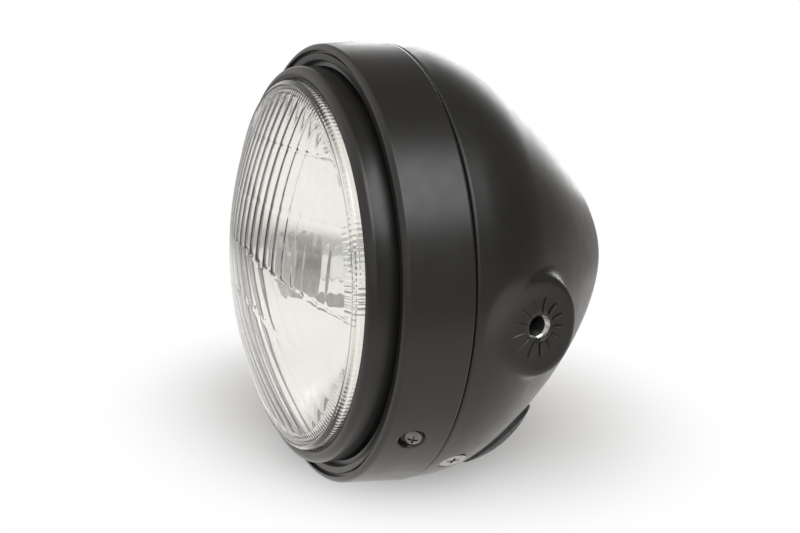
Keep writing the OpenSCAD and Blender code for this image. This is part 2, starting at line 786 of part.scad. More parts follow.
// Puts Z off the reflector's bowl at the middle of the shield's foot
module at_foot() { translate([0, -foot_y, foot_z]) rotate([-foot_slope, 0, 0]) children(); }

// The same place for a point t along the foot and h above the bowl, as [z, y]
function foot_point(t, h) = [
    foot_z - t * sin(foot_slope) + h * cos(foot_slope), -foot_y + t * cos(foot_slope) + h * sin(foot_slope)
];

module bulb_shield() {
    nose = 4;
    cup_z = shield_back + shield_l;
    color("#6d6c6a") in_frame() difference() {
        union() {
            rotate_extrude() polygon(concat(
                [[shield_r - shield_wall, shield_back], [shield_r, shield_back]],
                arc([shield_r - nose, cup_z - nose], nose, 0, 90, 6),
                [[0, cup_z], [0, cup_z - shield_wall]],
                arc([shield_r - nose, cup_z - nose], nose - shield_wall, 90, 0, 6)
            ));
            translate([shield_wall, 0, 0]) rotate([0, -90, 0]) linear_extrude(2 * shield_wall) polygon([
                [shield_back + 2, 0.2 - shield_r], [shield_back - 10, 0.6 - shield_r],
                foot_point(foot_l / 2 - 0.4, foot_lift + shield_wall / 2),
                foot_point(1, foot_lift + shield_wall / 2),
                foot_point(0.6, foot_lift + 6), [shield_back - 6, -6 - shield_r],
                [shield_back + 2, -0.8 - shield_r]
            ]);
            at_foot() translate([-foot_w / 2, -foot_l / 2, foot_lift]) cube([foot_w, foot_l, shield_wall]);
        }
        at_foot() translate([0, rivet_y, 0]) cylinder(r = rivet_r + hole_clear, h = 4, $fn = small_fn);
    }
}

module shield_rivet() {
    under = -1.4 * reflector_wall - 0.1;
    over = foot_lift + shield_wall + seat_gap;
    color("#8c8a86") in_frame() at_foot() translate([0, rivet_y, 0]) {
        translate([0, 0, under]) cylinder(r = rivet_r, h = over + rivet_head_h - under, $fn = small_fn);
        translate([0, 0, under - rivet_head_h + join]) cylinder(r = rivet_head_r, h = rivet_head_h - join, $fn = small_fn);
        translate([0, 0, over]) cylinder(r = rivet_head_r, h = rivet_head_h, $fn = small_fn);
    }
}

// Bulb

module bulb_base() {
    out = bulb_collar_r;
    in = out - bulb_collar_t;
    under = bulb_z - bulb_flange_t;
    color("#b8b6b0") in_frame() rotate_extrude() polygon([
        [in, bulb_z + collar_l], [out, bulb_z + collar_l], [out, bulb_z], [bulb_flange_r, bulb_z],
        [bulb_flange_r, under], [out + bulb_collar_t, under], [out + bulb_collar_t, bulb_z - collar_l],
        [out, bulb_z - collar_l], [out, under], [in, under]
    ]);
}

module bulb_glass() {
    inside = bulb_glass_r - bulb_glass_wall;
    foot = bulb_z + past;
    tip = bulb_z + bulb_reach;
    color("#dfe6e6", 0.5) in_frame() rotate_extrude() polygon(concat(
        [[inside, foot], [bulb_glass_r, foot]],
        arc([0, tip - bulb_glass_r], bulb_glass_r, 0, 90, 8),
        arc([0, tip - bulb_glass_r], inside, 90, 0, 8)
    ));
}

module bulb_filaments() {
    plug_r = bulb_glass_r - bulb_glass_wall - hole_clear;
    color("#c9c4b4") in_frame() union() {
        translate([0, 0, bulb_z - past]) cylinder(r = plug_r, h = collar_l / 2, $fn = small_fn);
        for (x = [-post_x, post_x]) translate([x, 0, bulb_z + collar_l / 3])
            cylinder(r = post_r, h = post_l, $fn = small_fn);
        for (z = [coil_near, coil_far]) translate([-post_x, 0, bulb_z + z]) rotate([0, 90, 0])
            cylinder(r = coil_r, h = 2 * post_x, $fn = small_fn);
    }
}

module bulb_terminals() {
    plug_low = bulb_z - collar_l + contact_gap;
    plug_top = bulb_z - bulb_flange_t - contact_gap / 4;
    blade_z = plug_low - blade[2] + join;
    color("#9d8f6c") in_frame() {
        translate([0, 0, plug_low])
            cylinder(r = bulb_collar_r - bulb_collar_t - hole_clear, h = plug_top - plug_low, $fn = small_fn);
        for (y = [blade_side, -blade_low]) translate([-blade[0] / 2, y, blade_z]) cube(blade);
        translate([-blade_low, -blade_low, blade_z]) cube([blade[1], blade[0], blade[2]]);
    }
}

// The four feet of the bulb's wire clip, as pins or, with extra room, as the holes for them
module clip_feet(extra) {
    low = bulb_z - bulb_flange_t - wire_r - seat_gap - extra;
    for (x = [-clip_x, clip_x]) for (y = [-clip_y, clip_y]) translate([x, y, low])
        cylinder(r = wire_r + extra, h = bulb_z + reflector_wall + 0.1 + 2 * extra - low, $fn = small_fn);
}

module bulb_clip() {
    wire_z = bulb_z - bulb_flange_t - wire_r - seat_gap;
    color("#c0beb8") in_frame() {
        for (x = [-clip_x, clip_x]) translate([x, -clip_y, wire_z]) rotate([-90, 0, 0])
            cylinder(r = wire_r, h = 2 * clip_y, $fn = small_fn);
        translate([-clip_x, clip_y, wire_z]) rotate([0, 90, 0]) cylinder(r = wire_r, h = 2 * clip_x, $fn = small_fn);
        for (x = [-clip_x, clip_x]) for (y = [-clip_y, clip_y]) translate([x, y, wire_z])
            sphere(r = wire_r, $fn = small_fn);
        clip_feet(0);
    }
}

module rubber_boot() {
    front = bulb_z + reflector_wall + 2 * hole_clear;
    top = front + 0.8 * boot_wall;
    grip_r = seat_r + boot_lip;
    tail_r = bulb_collar_r + boot_grip;
    color("#1a1a1a") in_frame() rotate_extrude() polygon([
        [seat_r - boot_grip, front], [seat_r - boot_grip, top], [grip_r + boot_wall, top],
        [grip_r + boot_wall, bulb_z - boot_mouth], [tail_r + boot_wall, bulb_z - boot_neck],
        [tail_r + boot_wall, bulb_z - boot_l], [tail_r, bulb_z - boot_l],
        [tail_r, bulb_z - boot_neck + boot_wall / 4], [grip_r, bulb_z - boot_mouth + boot_lip * 2], [grip_r, front]
    ]);
}

rear_shell();
bush_left();
bush_right();
cable_grommet();
trim_band();
top_catch();
lug_left();
lug_right();
lug_screws();
lug_nuts();
band_screws();
retaining_ring();
unit_clips();
unit_screws();
lens();
lens_gasket();
reflector();
bulb_shield();
shield_rivet();
bulb_base();
bulb_glass();
bulb_filaments();
bulb_terminals();
bulb_clip();
rubber_boot();
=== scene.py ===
"""Looks of the round motorcycle headlight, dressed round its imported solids.

Pieces are worked out on the bench: radius r from the lamp axis, height z above the seam between band
and shell (lens up), angle a round the axis from the right-hand pad towards the top, all in mm.
"""

import bpy
import bmesh
import numpy as np
from mathutils import Matrix, Vector


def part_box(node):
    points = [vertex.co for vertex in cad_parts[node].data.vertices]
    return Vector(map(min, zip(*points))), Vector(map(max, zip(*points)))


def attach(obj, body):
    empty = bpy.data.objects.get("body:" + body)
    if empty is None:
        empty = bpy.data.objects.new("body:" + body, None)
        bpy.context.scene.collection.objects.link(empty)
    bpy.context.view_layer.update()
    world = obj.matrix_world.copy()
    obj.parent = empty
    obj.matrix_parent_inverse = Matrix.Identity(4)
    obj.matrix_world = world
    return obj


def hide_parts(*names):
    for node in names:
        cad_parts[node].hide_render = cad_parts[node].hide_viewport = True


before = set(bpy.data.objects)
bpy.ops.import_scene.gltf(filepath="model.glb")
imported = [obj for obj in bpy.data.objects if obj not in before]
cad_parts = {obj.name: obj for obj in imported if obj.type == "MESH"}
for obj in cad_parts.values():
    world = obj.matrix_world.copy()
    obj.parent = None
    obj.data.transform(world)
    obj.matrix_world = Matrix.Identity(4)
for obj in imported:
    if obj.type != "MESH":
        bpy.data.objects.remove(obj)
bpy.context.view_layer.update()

MM = 0.001
SEAM_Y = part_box("trim_band")[1].y

# Gap in mm between pieces that lie against each other
FIT_GAP = 0.05

# Camera: degrees round the lamp, above it and of roll, metres off the seam's middle, and focal length in mm
CAMERA_AROUND, CAMERA_UP, CAMERA_ROLL = 64.43, 13.26, 3.04
CAMERA_AWAY, CAMERA_RIGHT, CAMERA_DROP = 0.48876, 0.01344, 0.002454
CAMERA_LENS, CAMERA_FILM = 47.65, 36

# Room: its bright side and its backdrop's side, and the cosines to them over which each comes up
BRIGHT_SIDE = (0.15, -1, -0.1)
ROOM_FADE = (-0.5, 0.35)
ROOM_DIM, ROOM_BRIGHT = 0.23, 0.95
BACKDROP_SIDE = (-0.85, 0.5, -0.1)
BACKDROP_FADE = (0.7, 0.92)
WARM_WHITE = (1, 0.975, 0.95)
PURE_WHITE = (1, 1, 1)

# Floor, in metres: where the lamp's shadow lies and how far out it shows, and over which distances the
# floor goes from its near to its far level where it is mirrored
FLOOR_R = 6.0
FLOOR_COLOUR = (0.66, 0.655, 0.65)
SHADOW_SPOT = (-0.07, 0.035, 0)
SHADOW_FADE = (0.05, 0.18)
MIRROR_FADE = (0.3, 0.6)
FLOOR_MIRRORED = (1.0, 0.5)

# Soft boxes: place and diameter in metres, power in watts
SIDE_BOX, SIDE_SIZE, SIDE_W = (0.96, 0.1, 1.03), 1.0, 9.0
REAR_BOX, REAR_SIZE, REAR_W = (-1.1, 0.93, 0.42), 1.1, 11.5

# From here on lengths are in mm, as in the solids

# Shell: radius at the seam, straight stretch, shoulder, flank, seam, rounded edge and spigot
SHELL_R = 99.4
SHELL_WALL = 1.5
STRAIGHT = 7.4
SHOULDER_R, SHOULDER_DEG = 58.0, 30.1
FLANK_R, FLANK_DEG = 231.0, 53.3
SEAM_GAP = 0.8
EDGE_ROUND = 1.4
SPIGOT_R = 97.2
SPIGOT_H = 7.0

# Grid of the shell: its even rows and the last of them, the rows of the end, and the columns' degrees,
# coarse all round and fine in zones (from, to, step) at the screws, the pads and the grommet
ROW_STEP, LAST_EVEN_ROW, END_ROWS = 1.0, 76, 34
FIRST_ROW_GAP = 0.4
COARSE_DEG = 2.0
SHELL_ZONES = [(-76, -41, 0.62), (-22, 14, 0.58), (166, 202, 0.58), (221, 233, 0.56)]

# Side mounts: the pad's flat, its edge, the hollow in it, and how the pad runs into the shell
PAD_X = 95.0
MOUNT_BACK = 33.0
MOUNT_DROP = 7.0
PAD_FLAT_R, PAD_TALLER = 14.4, 1.22
PAD_ROUND = 3.2
PAD_DRAFT = 72.0
HOLLOW_R, HOLLOW_RISE = 10.0, 62.0
PAD_FILLET, HOLLOW_FILLET = 4.5, 2.5
PAD_END_R, PAD_END_W = 26.0, 4.0
PAD_HOLE_R, PAD_HOLE_DIP = 5.25, 0.35
PAD_CELLS, PAD_REACH = (6, 31), 31.0

# Bushes: the thread stops short of each end, and from a little below the flange down it is painted near
# black, as painted shade deep in the bore
THREAD_CORE_R, THREAD_PITCH = 4.25, 1.5
THREAD_DEPTH, THREAD_ROWS = 0.8, 120
THREAD_ENDS = (1.1, 0.3)
SHADE_BELOW = 2.7
BUSH_FLANGE_R, BUSH_FLANGE_T = 13.0, 2.5
BUSH_NECK_R, BUSH_L = 8.0, 14.0

# Ridges on a pad: how many, their half width and foot, and what they are at the back and gain ahead
RIDGES = 13
RIDGE_HALF_W, RIDGE_FOOT, RIDGE_START_R = 0.55, 0.6, 6.2
RIDGE_RISE, RIDGE_RISE_GAIN = 0.16, 0.24
RIDGE_L, RIDGE_L_GAIN = 4.8, 3.0

# Screws and grommet; cells are counted from a hole's middle to its edge and to the end of its rings
LUG_SCREW_DEG, LUG_SCREW_BACK = 46.9, 12.4
LUG_HOLE_R = 6.15
LUG_CELLS, LUG_REACH = (5, 9), 9.2
BAND_SCREW_DEG, BAND_SCREW_Z = 33.1, 14.0
POCKET_R, POCKET_DEPTH = 4.9, 2.45
POCKET_LEAN, POCKET_TURN = 20.0, 10.0
POCKET_WALL_SLOPE, POCKET_FILLET, POCKET_SPAN_DEG = 3.2, 0.5, 9.0
GROMMET_DEG, GROMMET_SLOPE = 57.0, 32.8
GROMMET_HOLE_R = 12.0
GROMMET_CELLS, GROMMET_REACH = (10, 20), 21.0

# Band, and its grid: close rows and zones of columns (from, to, step) where the pockets are
RIM_R, RIM_FRONT_R = 100.0, 97.5
RIM_DEPTH, RIM_LIP_R, RIM_WALL = 28.4, 2.6, 1.2
RIM_OPENING_R = 90.3
FLANGE_Z = 27.4
GROOVE_W, GROOVE_DEPTH = 1.2, 1.1
BAND_EDGE_R = 0.45
POCKET_ROWS_FROM, POCKET_ROWS_TO = 6.5, 22.0
POCKET_ROW, INNER_ROW = 0.42, 0.6
BAND_ZONES = [(-40, -26, 0.24), (206, 220, 0.24)]
BAND_COARSE_DEG = 1.4

# Lens: its edge, dome, wall and flange, and the rolled edge as (in from the rim, up, radius, from, to)
LENS_R, LENS_EDGE_Z = 81.6, 37.8
BEAD_H, BEAD_W = 4.1, 2.4
DOME_H, DOME_POWER = 18.8, 1.885
GLASS_T = 3.0
LENS_FLANGE_DROP, LENS_FLANGE_W = 1.5, 4.0
LENS_BACK_Z = LENS_EDGE_Z - LENS_FLANGE_DROP - GLASS_T
EDGE_ROLLS = [(1.7, 1.9, 1.75, -5, 60), (2.2, 3.1, 1.15, 45, 110)]
GRID_PER_FLUTE, LENS_ROWS, CAP_RINGS = 12, 210, 26

# The glass's pattern: upright grooves, the lines they end at, slanting grooves below, ribs at the edge
FLUTE_STEP = 2.636
FLUTE_LAND = 0.5
FLUTE_DEPTH = 0.24
STEP_HEIGHT, BEAD_HEIGHT, BEAD_HALF = 0.1, 0.2, 0.8
CUT_SLOPE, CUT_UP = 0.175, 8.7
LOW_SLOPE, LOW_UP = 0.25, -13.4
SLANT_TURN, SLANT_STEP, SLANT_DEPTH = 28.0, 3.4, 0.09
FIELD_R = 75.4
UPPER_STEP, MIDDLE_STEP = 54.5, 29.8
RIB_COUNT, RIB_IN, RIB_OUT, RIB_DEPTH = 216, 75.2, 80.4, 0.04

# Retaining ring and reflector
RING_R, RING_WALL, RING_ROUND, RING_RISE = 87.7, 1.2, 3.5, 0.8
RING_FLANGE_R, RING_FLANGE_Z = 95.1, FLANGE_Z - GROOVE_DEPTH - RIM_WALL - FIT_GAP
LENS_GAP = 0.15
FOCAL_L, MOUTH_R, NECK_R = 25.0, 77.5, 19.6
REFLECTOR_WALL, REFLECTOR_FLANGE_R = 1.0, 93.9
GASKET_ROOM, SKIRT_GAP = 1.9, 0.6
BULB_SEAT_R, BULB_SEAT_DROP = 24.5, 3.5


def radians(degrees):
    """Radians of one angle or several."""
    return np.radians(degrees)


def smooth_step(t):
    """From 0 to 1 with level ends: t^2 (3 - 2 t)."""
    t = np.clip(t, 0, 1)
    return t * t * (3 - 2 * t)


def smooth_max(a, b, k):
    """The larger of a and b, with a fillet of about k where they are equal."""
    h = np.clip(k - np.abs(a - b), 0, None)
    return np.maximum(a, b) + h * h / (4 * k)


def smooth_min(a, b, k):
    """The smaller of a and b, with the same fillet."""
    return -smooth_max(-a, -b, k)


# Meshes

def to_frame(x, up, z):
    """Bench places (x right, up, z towards the lens) in mm as frame places in metres."""
    return np.stack([x * MM, SEAM_Y - z * MM, up * MM], axis=-1)


def mesh_piece(name, points, faces, material, sharp=35):
    """A piece from points and faces, smooth but for edges over sharp degrees, riding on the lamp."""
    mesh = bpy.data.meshes.new(name)
    mesh.from_pydata(points.reshape(-1, 3).tolist(), [], faces.tolist())
    work = bmesh.new()
    work.from_mesh(mesh)
    bmesh.ops.remove_doubles(work, verts=work.verts, dist=1e-6)
    bmesh.ops.dissolve_degenerate(work, edges=work.edges, dist=1e-7)
    bmesh.ops.recalc_face_normals(work, faces=work.faces)
    work.to_mesh(mesh)
    work.free()
    mesh.polygons.foreach_set("use_smooth", np.ones(len(mesh.polygons), bool))
    mesh.set_sharp_from_angle(angle=radians(sharp))
    piece = bpy.data.objects.new(name, mesh)
    bpy.context.scene.collection.objects.link(piece)
    mesh.materials.append(material)
    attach(piece, "root")
    return piece


def grid_faces(rows, columns, wrap_rows, wrap_columns, keep=None):
    """Quads of a grid of points; keep, if given, says which of its cells are filled."""
    i, j = np.meshgrid(np.arange(rows if wrap_rows else rows - 1),
                       np.arange(columns if wrap_columns else columns - 1), indexing="ij")
    if keep is not None:
        i, j = i[keep], j[keep]
    i, j = i.ravel(), j.ravel()
    i2, j2 = (i + 1) % rows, (j + 1) % columns
    return np.stack([i * columns + j, i * columns + j2, i2 * columns + j2, i2 * columns + j], axis=-1)


def arc(centre, radius, start, end, count):
    """Points on an arc of a section, as (radius from the axis, height)."""
    a = radians(np.linspace(start, end, count))
    return np.stack([centre[0] + radius * np.cos(a), centre[1] + radius * np.sin(a)], axis=-1)


def lathe(name, section, material, columns=288):
    """A closed section of (r, z) points turned round the lamp axis: (r cos a, r sin a, z)."""
    section = np.asarray(section, float)
    a = np.linspace(0, 2 * np.pi, columns, endpoint=False)
    r, z = section[:, :1], section[:, 1:]
    points = to_frame(r * np.cos(a), r * np.sin(a), z + 0 * a)
    faces = grid_faces(len(section), columns, True, True)
    return mesh_piece(name, points, faces, material)


# Materials

def new_material(name, colour, roughness, metallic=0.0):
    """A material with its main shader, and the node tree to add detail to."""
    material = bpy.data.materials.new(name)
    material.use_nodes = True
    tree = material.node_tree
    shader = tree.nodes["Principled BSDF"]
    shader.inputs["Base Color"].default_value = (*colour, 1)
    shader.inputs["Roughness"].default_value = roughness
    shader.inputs["Metallic"].default_value = metallic
    return material, tree, shader


def object_noise(tree, scale, detail=2.0):
    """Noise on Object coordinates: scale in patches per metre."""
    place = tree.nodes.new("ShaderNodeTexCoord")
    noise = tree.nodes.new("ShaderNodeTexNoise")
    noise.inputs["Scale"].default_value = scale
    noise.inputs["Detail"].default_value = detail
    tree.links.new(place.outputs["Object"], noise.inputs["Vector"])
    return noise.outputs["Fac"]


def mapped(tree, value, low, high):
    """A value from 0.3 to 0.7 spread over low to high."""
    node = tree.nodes.new("ShaderNodeMapRange")
    node.inputs["From Min"].default_value = 0.3
    node.inputs["From Max"].default_value = 0.7
    node.inputs["To Min"].default_value = low
    node.inputs["To Max"].default_value = high
    tree.links.new(value, node.inputs["Value"])
    return node.outputs["Result"]


def blended(tree, value, first, second):
    """Colour that goes from first to second as value goes from 0 to 1."""
    mix = tree.nodes.new("ShaderNodeMix")
    mix.data_type = "RGBA"
    mix.inputs["A"].default_value = (*first, 1)
    mix.inputs["B"].default_value = (*second, 1)
    tree.links.new(value, mix.inputs["Factor"])
    return mix.outputs["Result"]


def add_bump(tree, shader, height, distance, strength=1.0):
    """Bumps on the shader's surface, distance metres deep for a height of 1."""
    bump = tree.nodes.new("ShaderNodeBump")
    bump.inputs["Distance"].default_value = distance
    bump.inputs["Strength"].default_value = strength
    tree.links.new(height, bump.inputs["Height"])
    tree.links.new(bump.outputs["Normal"], shader.inputs["Normal"])


def satin_paint(name, colour, roughness):
    """Black baked paint: fine orange peel in the bump, cloudy roughness and a faint change of colour."""
    material, tree, shader = new_material(name, colour, roughness)
    tint = mapped(tree, object_noise(tree, 60), 0, 1)
    lighter = tuple(1.25 * c for c in colour)
    tree.links.new(blended(tree, tint, colour, lighter), shader.inputs["Base Color"])
    cloud = object_noise(tree, 140, 4)
    tree.links.new(mapped(tree, cloud, roughness - 0.03, roughness + 0.03), shader.inputs["Roughness"])
    add_bump(tree, shader, object_noise(tree, 1500, 3), 0.00002, 0.35)
    return material


def plated_steel(name, colour, roughness):
    """Plated metal: fine streaks in its roughness and a trace of unevenness."""
    material, tree, shader = new_material(name, colour, roughness, 1.0)
    streaks = object_noise(tree, 900, 5)
    tree.links.new(mapped(tree, streaks, roughness * 0.7, roughness * 1.4), shader.inputs["Roughness"])
    dark = tuple(0.75 * c for c in colour)
    patches = mapped(tree, object_noise(tree, 250, 3), 0, 1)
    tree.links.new(blended(tree, patches, colour, dark), shader.inputs["Base Color"])
    add_bump(tree, shader, object_noise(tree, 2500, 2), 0.00001, 0.3)
    return material


def soft_rubber(name):
    """Black rubber with a grey bloom of dust and a soft grain."""
    material, tree, shader = new_material(name, (0.018, 0.018, 0.018), 0.6)
    dust = mapped(tree, object_noise(tree, 320, 5), 0, 1)
    dusted = blended(tree, dust, (0.014, 0.014, 0.014), (0.03, 0.03, 0.029))
    tree.links.new(dusted, shader.inputs["Base Color"])
    tree.links.new(mapped(tree, object_noise(tree, 500, 3), 0.5, 0.72), shader.inputs["Roughness"])
    add_bump(tree, shader, object_noise(tree, 1800, 3), 0.00003, 0.5)
    return material


def vapour_mirror(name):
    """Vapour-coated reflector: a bright metal under a milky haze."""
    material, tree, shader = new_material(name, (0.985, 0.982, 0.966), 0.1, 0.84)
    tree.links.new(mapped(tree, object_noise(tree, 90, 3), 0.08, 0.12), shader.inputs["Roughness"])
    add_bump(tree, shader, object_noise(tree, 220, 1), 0.00002, 0.25)
    return material


def math_node(tree, operation, first, second=None):
    """One step of arithmetic on numbers or sockets."""
    node = tree.nodes.new("ShaderNodeMath")
    node.operation = operation
    for socket, value in zip(node.inputs, (first, second)):
        if isinstance(value, (int, float)):
            socket.default_value = value
        elif value is not None:
            tree.links.new(value, socket)
    return node.outputs["Value"]


def clear_glass(name, tint):
    """Clear pressed glass."""
    material, tree, shader = new_material(name, tint, 0.0)
    shader.inputs["Transmission Weight"].default_value = 1.0
    shader.inputs["IOR"].default_value = 1.5
    return material, tree, shader


def rim_ribbed_glass(name, tint):
    """Glass with fine radial ribs round its edge: sin(n * angle) between two radii."""
    material, tree, shader = clear_glass(name, tint)
    place = tree.nodes.new("ShaderNodeTexCoord")
    parts = tree.nodes.new("ShaderNodeSeparateXYZ")
    tree.links.new(place.outputs["Object"], parts.inputs["Vector"])
    x, up = parts.outputs["X"], parts.outputs["Z"]
    wave = math_node(tree, "SINE", math_node(tree, "MULTIPLY", math_node(tree, "ARCTAN2", up, x), RIB_COUNT))
    far = math_node(tree, "SQRT", math_node(tree, "ADD", math_node(tree, "MULTIPLY", x, x),
                                            math_node(tree, "MULTIPLY", up, up)))
    within = math_node(tree, "MULTIPLY", math_node(tree, "GREATER_THAN", far, RIB_IN * MM),
                       math_node(tree, "LESS_THAN", far, RIB_OUT * MM))
    add_bump(tree, shader, math_node(tree, "MULTIPLY", wave, within), RIB_DEPTH * MM)
    return material


shell_paint = satin_paint("shell_paint", (0.0088, 0.0082, 0.0074), 0.34)
band_paint = satin_paint("band_paint", (0.0088, 0.0082, 0.0074), 0.31)
ring_paint = satin_paint("ring_paint", (0.0075, 0.0070, 0.0064), 0.3)
bright_zinc = plated_steel("bright_zinc", (0.6, 0.59, 0.57), 0.24)
# Near-black steel for the deep thread of the bushes: painted shade where little light reaches into the bore
thread_painted_shade = plated_steel("thread_painted_shade", (0.035, 0.034, 0.033), 0.45)
screw_plate = plated_steel("screw_plate", (0.4, 0.39, 0.37), 0.3)
# Band screws darker all over than the lug screws: painted shade of their pockets and cross recesses
screw_painted_shade = plated_steel("screw_painted_shade", (0.2, 0.195, 0.185), 0.26)
inner_steel = plated_steel("inner_steel", (0.45, 0.44, 0.42), 0.4)
shield_grey = plated_steel("shield_grey", (0.72, 0.715, 0.7), 0.42)
brass = plated_steel("terminal_brass", (0.62, 0.47, 0.24), 0.35)
rubber = soft_rubber("black_rubber")
mirror = vapour_mirror("reflector_mirror")
lens_glass = rim_ribbed_glass("lens_glass", (0.99, 0.99, 0.98))
bulb_clear = clear_glass("bulb_clear", (0.98, 0.99, 0.99))[0]


# Camera, light and floor

def make_camera():
    """Camera at the photo's viewing angle, turned about its own axis by the photo's roll."""
    around, up, roll = radians((CAMERA_AROUND, CAMERA_UP, CAMERA_ROLL))
    back = Vector((np.sin(around) * np.cos(up), -np.cos(around) * np.cos(up), np.sin(up)))
    level = Vector((np.cos(around), np.sin(around), 0))
    above = back.cross(level)
    right = level * np.cos(roll) + above * np.sin(roll)
    top = above * np.cos(roll) - level * np.sin(roll)
    data = bpy.data.cameras.new("camera")
    data.sensor_width = CAMERA_FILM
    data.lens = CAMERA_LENS
    camera = bpy.data.objects.new("camera", data)
    bpy.context.scene.collection.objects.link(camera)
    place = back * CAMERA_AWAY + right * CAMERA_RIGHT - top * CAMERA_DROP + Vector((0, SEAM_Y, 0))
    turn = Matrix((right, top, back)).transposed().to_4x4()
    camera.matrix_world = Matrix.Translation(place) @ turn
    bpy.context.scene.camera = camera


def area_light(name, place, size, power):
    """A round soft box that faces the lamp."""
    data = bpy.data.lights.new(name, "AREA")
    data.shape = "DISK"
    data.size = size
    data.energy = power
    light = bpy.data.objects.new(name, data)
    bpy.context.scene.collection.objects.link(light)
    light.location = place
    light.rotation_euler = (-Vector(place)).to_track_quat("-Z", "Y").to_euler()


def faded(tree, distance, reach, near, far):
    """A level that goes from near to far as the distance goes through reach."""
    fade = tree.nodes.new("ShaderNodeMapRange")
    fade.interpolation_type = "SMOOTHSTEP"
    fade.inputs["From Min"].default_value = reach[0]
    fade.inputs["From Max"].default_value = reach[1]
    fade.inputs["To Min"].default_value = near
    fade.inputs["To Max"].default_value = far
    tree.links.new(distance, fade.inputs["Value"])
    return fade.outputs["Result"]


def side_cosine(tree, place, side):
    """Cosine between a direction of the world and one side."""
    dot = tree.nodes.new("ShaderNodeVectorMath")
    dot.operation = "DOT_PRODUCT"
    dot.inputs[1].default_value = Vector(side).normalized()
    tree.links.new(place.outputs["Generated"], dot.inputs[0])
    return dot.outputs["Value"]


def make_world():
    """Studio room: dim, brighter towards its bright side, and white for the camera and through glass.

    What mirrors the room shows its white backdrop, behind the lamp's left, as well.
    """
    world = bpy.data.worlds.new("studio")
    bpy.context.scene.world = world
    world.use_nodes = True
    tree = world.node_tree
    background = tree.nodes["Background"]
    place = tree.nodes.new("ShaderNodeTexCoord")
    room = faded(tree, side_cosine(tree, place, BRIGHT_SIDE), ROOM_FADE, ROOM_DIM, ROOM_BRIGHT)
    backdrop = faded(tree, side_cosine(tree, place, BACKDROP_SIDE), BACKDROP_FADE, 0, 1)
    path = tree.nodes.new("ShaderNodeLightPath")
    seen = path.outputs["Is Camera Ray"]
    mirrored = math_node(tree, "MULTIPLY", path.outputs["Is Glossy Ray"], backdrop)
    through = math_node(tree, "MAXIMUM", mirrored, path.outputs["Is Transmission Ray"])
    level = math_node(tree, "MAXIMUM", room, math_node(tree, "MAXIMUM", seen, through))
    tree.links.new(level, background.inputs["Strength"])
    tree.links.new(blended(tree, seen, WARM_WHITE, PURE_WHITE), background.inputs["Color"])


def make_floor():
    """White floor that keeps the lamp's shadow, and shows in what mirrors it.

    For the camera its own white takes over from the lit surface with the distance from the shadow. Mirrored
    or seen through glass, it is white close by and greyer further out.
    """
    below = (0, 0, -RIM_R * MM)
    bpy.ops.mesh.primitive_circle_add(vertices=96, radius=FLOOR_R, fill_type="NGON", location=below)
    floor = bpy.context.active_object
    floor.name = "floor"
    material, tree, shader = new_material("floor_white", FLOOR_COLOUR, 0.9)
    shader.inputs["Specular IOR Level"].default_value = 0.1
    place = tree.nodes.new("ShaderNodeTexCoord")
    away = tree.nodes.new("ShaderNodeVectorMath")
    away.operation = "DISTANCE"
    away.inputs[1].default_value = SHADOW_SPOT
    tree.links.new(place.outputs["Object"], away.inputs[0])
    distance = away.outputs["Value"]
    path = tree.nodes.new("ShaderNodeLightPath")
    seen = path.outputs["Is Camera Ray"]
    through = path.outputs["Is Transmission Ray"]
    mirrored = math_node(tree, "MAXIMUM", path.outputs["Is Glossy Ray"], through)
    white = math_node(tree, "MULTIPLY", seen, faded(tree, distance, SHADOW_FADE, 0, 1))
    glow = tree.nodes.new("ShaderNodeEmission")
    tree.links.new(blended(tree, seen, WARM_WHITE, PURE_WHITE), glow.inputs["Color"])
    level = math_node(tree, "MULTIPLY", mirrored, faded(tree, distance, MIRROR_FADE, *FLOOR_MIRRORED))
    tree.links.new(math_node(tree, "ADD", seen, level), glow.inputs["Strength"])
    mix = tree.nodes.new("ShaderNodeMixShader")
    tree.links.new(math_node(tree, "MAXIMUM", white, mirrored), mix.inputs["Fac"])
    tree.links.new(shader.outputs["BSDF"], mix.inputs[1])
    tree.links.new(glow.outputs["Emission"], mix.inputs[2])
    tree.links.new(mix.outputs["Shader"], tree.nodes["Material Output"].inputs["Surface"])
    floor.data.materials.append(material)


def make_studio():
    """World, floor and the two soft boxes."""
    make_world()
    make_floor()
    area_light("side_box", SIDE_BOX, SIDE_SIZE, SIDE_W)
    area_light("rear_box", REAR_BOX, REAR_SIZE, REAR_W)


# Shell

def flank_centre():
    """(radius, height) of the middle of the flank's arc, which runs on from the shoulder's."""
    a = radians(SHOULDER_DEG)
    further = FLANK_R - SHOULDER_R
    return SHELL_R - SHOULDER_R - further * np.cos(a), -STRAIGHT + further * np.sin(a)


def flank_point(slope):
    """(radius, height) of the flank where it slopes by that many degrees."""
    centre = flank_centre()
    s = radians(slope)
    return centre[0] + FLANK_R * np.cos(s), centre[1] - FLANK_R * np.sin(s)


def shell_meridian():
    """The shell's outside from seam to end, as arc length, radius and height, densely sampled."""
    shoulder = (SHELL_R - SHOULDER_R, -STRAIGHT)
    flank = flank_centre()
    turn = radians(FLANK_DEG)
    end_r = FLANK_R + flank[0] / np.cos(turn)
    end_z = flank[1] - (FLANK_R - end_r) * np.sin(turn)
    line = np.concatenate([
        [(SHELL_R, 0.0)],
        arc(shoulder, SHOULDER_R, 0, -SHOULDER_DEG, 400),
        arc(flank, FLANK_R, -SHOULDER_DEG, -FLANK_DEG, 800)[1:],
        arc((0, end_z), end_r, -FLANK_DEG, -90, 400)[1:],
    ])
    length = np.concatenate([[0], np.cumsum(np.hypot(*np.diff(line, axis=0).T))])
    return length, line[:, 0], line[:, 1]


MERIDIAN = shell_meridian()


def shell_radius(z):
    """Radius of the shell's outside at a height."""
    return np.interp(-z, -MERIDIAN[2], MERIDIAN[1])


